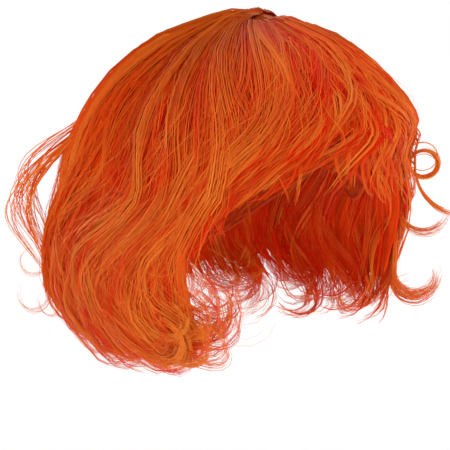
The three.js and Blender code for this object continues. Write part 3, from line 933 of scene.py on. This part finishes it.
def make_mat(section):
    """One section's mat: rings from side to side, each out along the hair and back inside it."""
    locks = np.array(LOCKS[section], float)
    side = 0.5 + MAT_OVERLAP
    place = np.linspace(-side, len(locks) - 1 + side, MAT_STEPS["across_each_lock"] * len(locks) + 1)
    rows = mixed_rows(locks, place)
    turn = 2 * np.pi * MAT_BULGES * place
    ragged = sum(size * np.sin(pace * turn + shift) for pace, shift, size in RAGS)
    stop = MAT_END[section] + MAT_RAGGED * ragged
    share = stop[:, None] * np.linspace(0, 1, MAT_STEPS["down"])
    azimuth = through(STATIONS, rows[:, WAY], share)
    core, outward, reach, _, thick = hair_at(section, rows, azimuth, share)
    sway = TRESS_SWAY * np.sin(TRESS_WAVES * share + TRESS_SHIFT * place[:, None])
    tress = np.sin(turn[:, None] + sway)
    top = MAT_SINK - MAT_BULGE * tress * smooth(share, *BULGES_GROW)
    deeper = (WHORL_TOP * thick - top).clip(0) * (1 - smooth(share, *WHORL_FADES))
    top = np.minimum(top, DEEPEST_TOP * thick) + deeper
    bottom = np.maximum(MAT_INNER * thick, top + MAT_EDGE)
    taper = smooth(share / stop[:, None], END_TAPER, 1)
    if section in FREE_EDGE:
        inset = np.abs(place - place[FREE_EDGE[section]])[:, None]
        taper = np.maximum(taper, 1 - smooth(inset, 0, FREE_TAPER))
    thin = 0.5 * taper * (bottom - top - MAT_EDGE)
    clear = stand_clear(rows, share)
    outer = core + outward * (reach - top - thin + clear)[..., None]
    inner = core + outward * (reach - bottom + thin + clear * taper)[..., None]
    rings = np.concatenate([outer, inner[:, ::-1]], axis=1)
    run = np.cumsum(np.linalg.norm(np.diff(outer, axis=1, prepend=outer[:, :1]), axis=2), axis=1)
    flow = np.stack([np.broadcast_to(place[:, None] * LOCK_PITCH, run.shape), run / FLOW_LENGTH], axis=-1)
    return closed_mesh(section + "_mat", rings, np.concatenate([flow, flow[:, ::-1]], axis=1))


for section in LOCKS:
    mat = make_mat(section)
    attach(mat, "root")
    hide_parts(section)
    print(mat.name, len(mat.data.polygons), "faces")

# %% [markdown]
# The net's finish. The cap is a stretch net, and its holes are far too small to model. A cell texture
# colours the threads and gives them a little height. The wefts sewn to it are as orange as the hair.

# %% Finish of the net
NET_RUST = (0.42, 0.02, 0.003, 1)
NET_ORANGE = (0.68, 0.08, 0.012, 1)
WEFT_ORANGE = (0.85, 0.1, 0.008, 1)
WEFT_COVER = 0.8
NET_MESHES = 900.0  # holes of the net to a metre


def net_sockets(graph):
    place = graph.node("ShaderNodeTexCoord").other("Object")
    inputs = {"Vector": place, "Scale": NET_MESHES}
    cells = graph.node("ShaderNodeTexVoronoi", inputs, feature="DISTANCE_TO_EDGE")
    thread = graph.node("ShaderNodeMapRange", {"Value": cells, "From Min": 0.02, "From Max": 0.2})
    patches = graph.node("ShaderNodeTexNoise", {"Vector": place, "Scale": 60.0, "Detail": 2.0})
    net = mix_colours(graph, thread * (patches * 0.5 + 0.5), NET_ORANGE, NET_RUST)
    height = {"Height": 1 - thread, "Strength": 0.6, "Distance": 0.3 * MM}
    return {
        "Base Color": mix_colours(graph, value_of(graph, "weft") * WEFT_COVER, net, WEFT_ORANGE),
        "Roughness": 0.85,
        "Normal": graph.node("ShaderNodeBump", height),
        "Specular IOR Level": 0.1,
    }


NET = make_finish("stretch_net", net_sockets)
print("finish of the net:", NET.name)

# %% [markdown]
# The cap. Rows of wefts are sewn round the net, and their backs show from below. The shell is modelled
# once, as rings down its outside and up its inside, with the weft rows as low ribs on the inside.

# %% Stretch cap with wefts
CAP_EDGE = {
    "azimuth": [0, 30, 55, 72, 95, 120, 150, 180],
    "z": [-62, -68, -98, -116, -98, -122, -150, -156],
}
CAP_STEPS = {"around": 96, "down": 60}
WEFT_PITCH = 11.0
WEFT_RISE = 0.7


def cap_ring(share, wall, azimuth):
    """Points round the cap at a share of the way from crown to edge."""
    edge_z = through(CAP_EDGE["azimuth"], CAP_EDGE["z"], np.abs(azimuth))[0]
    polar = np.arccos((edge_z + HOLLOW[2]) / HOLLOW[2]) * share
    angle = np.radians(azimuth)
    ball = np.stack([np.sin(polar) * np.sin(angle), -np.sin(polar) * np.cos(angle), np.cos(polar)], axis=-1)
    return ball * (HOLLOW + np.asarray(wall)[..., None]) - [0, 0, HOLLOW[2]], polar


def make_cap():
    azimuth = np.linspace(180, -180, CAP_STEPS["around"], endpoint=False)
    shares = np.linspace(1 / CAP_STEPS["down"], 1, CAP_STEPS["down"])
    outside = np.array([cap_ring(share, CAP_WALL, azimuth)[0] for share in shares])
    inside, ribs = [], []
    for share in shares[::-1]:
        _, polar = cap_ring(share, 0, azimuth)
        rib = np.maximum(0, np.cos(2 * np.pi * polar * HOLLOW[2] / WEFT_PITCH)) ** 2
        inside.append(cap_ring(share, -WEFT_RISE * rib, azimuth)[0])
        ribs.append(rib)
    rings = np.concatenate([outside, np.array(inside)])
    count, around = rings.shape[:2]
    order = np.arange(count * around).reshape(count, around)
    following = np.roll(order, -1, axis=1)
    quads = np.stack([order[:-1], order[1:], following[1:], following[:-1]], axis=-1).reshape(-1, 4)
    poles = np.array([[0, 0, CAP_WALL], [0, 0, 0]])
    fans = [[order.size, order[0, k], following[0, k]] for k in range(around)]
    fans += [[order.size + 1, following[-1, k], order[-1, k]] for k in range(around)]
    points = np.concatenate([rings.reshape(-1, 3), poles])
    made = mesh_object("cap_net", points, quads.tolist() + fans, NET)
    layer = made.data.attributes.new("weft", "FLOAT", "POINT")
    layer.data.foreach_set("value", np.concatenate([np.zeros(outside[..., 0].size), *ribs, [0, 0]]))
    return made


cap = make_cap()
print("cap", len(cap.data.polygons), "faces")

# %% [markdown]
# The binding. A soft round tape closes the cap's edge. A second, much smaller tree sweeps it along the
# same edge curve, in the middle of the wall.

# %% Binding along the cap's edge
BINDING_INPUTS = {"Edge": "Geometry", "Binding radius": "Float", "Finish": "Material"}
BINDING_RADIUS = 1.5
BINDING_SIDES = 10


def binding_tree():
    graph = new_tree("binding along an edge", BINDING_INPUTS)
    edge = graph.node("NodeGroupInput")
    curve = graph.node("GeometryNodeMeshToCurve", {"Mesh": edge})
    profile = circle(graph, BINDING_SIDES)
    tape = {"Curve": curve, "Profile Curve": profile, "Scale": edge.other("Binding radius")}
    swept = graph.node("GeometryNodeCurveToMesh", tape)
    rounded = graph.node("GeometryNodeSetShadeSmooth", {0: swept})
    return close_tree(graph, rounded, edge.other("Finish"))


def make_binding():
    azimuth = np.linspace(180, -180, 2 * CAP_STEPS["around"], endpoint=False)
    points, _ = cap_ring(1, CAP_WALL / 2, azimuth)
    mesh = bpy.data.meshes.new("cap_binding")
    edges = [(k, (k + 1) % len(points)) for k in range(len(points))]
    mesh.from_pydata((points * MM).tolist(), edges, [])
    source = add_object("cap_binding", mesh)
    return run_tree(source, binding_tree(), {"Binding radius": BINDING_RADIUS * MM, "Finish": NET})


binding = make_binding()
for piece in (cap, binding):
    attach(piece, "root")
    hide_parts("cap")
print("binding", len(binding.data.polygons), "faces")

# %% [markdown]
# The floor and the light. A white sweep far below keeps clear of the wig, which hangs in its worn place.
# A bright even world and two soft panels give the broad highlights that show the waves.

# %% Stage and light
FLOOR_DROP = 0.42  # metres under the crown
FLOOR_REACH = 6.0
FLOOR_TONES = ((0.93, 0.93, 0.93, 1), (0.96, 0.96, 0.96, 1))
WHITE = (1, 1, 1, 1)
PANELS = [  # name, place, size in metres, watts
    ("far_panel", (1.4, -0.9, 0.1), 1.2, 3.5),
    ("near_panel", (-1.3, -0.9, -0.2), 1.2, 4),
]
PANEL_AIM = Vector((0, 0, -0.1))
WORLD_STRENGTH = 0.84


def floor_sockets(graph):
    speckle = graph.node("ShaderNodeTexNoise", {"Scale": 3.0})
    return {
        "Base Color": mix_colours(graph, speckle, *FLOOR_TONES),
        "Roughness": 0.9,
        "Emission Color": WHITE,
        "Emission Strength": 0.2,
    }


def make_stage():
    floor = bpy.data.meshes.new("floor")
    signs = ((-1, -1), (1, -1), (1, 1), (-1, 1))
    corners = [(x * FLOOR_REACH, y * FLOOR_REACH, -FLOOR_DROP) for x, y in signs]
    floor.from_pydata(corners, [], [(0, 1, 2, 3)])
    floor.materials.append(make_finish("white_sweep", floor_sockets))
    stage = add_object("floor", floor)


def make_panel(name, place, size, power):
    data = bpy.data.lights.new(name, "AREA")
    data.energy = power
    data.size = size
    panel = add_object(name, data)
    panel.location = place
    panel.rotation_mode = "QUATERNION"
    panel.rotation_quaternion = (PANEL_AIM - Vector(place)).to_track_quat("-Z", "Y")


make_stage()
for panel in PANELS:
    make_panel(*panel)
world = bpy.data.worlds.new("studio")
world.use_nodes = True
background = world.node_tree.nodes["Background"]
background.inputs["Color"].default_value = WHITE
background.inputs["Strength"].default_value = WORLD_STRENGTH
bpy.context.scene.world = world
bpy.context.scene.view_settings.view_transform = "Standard"
print("stage with", len(PANELS), "panels")
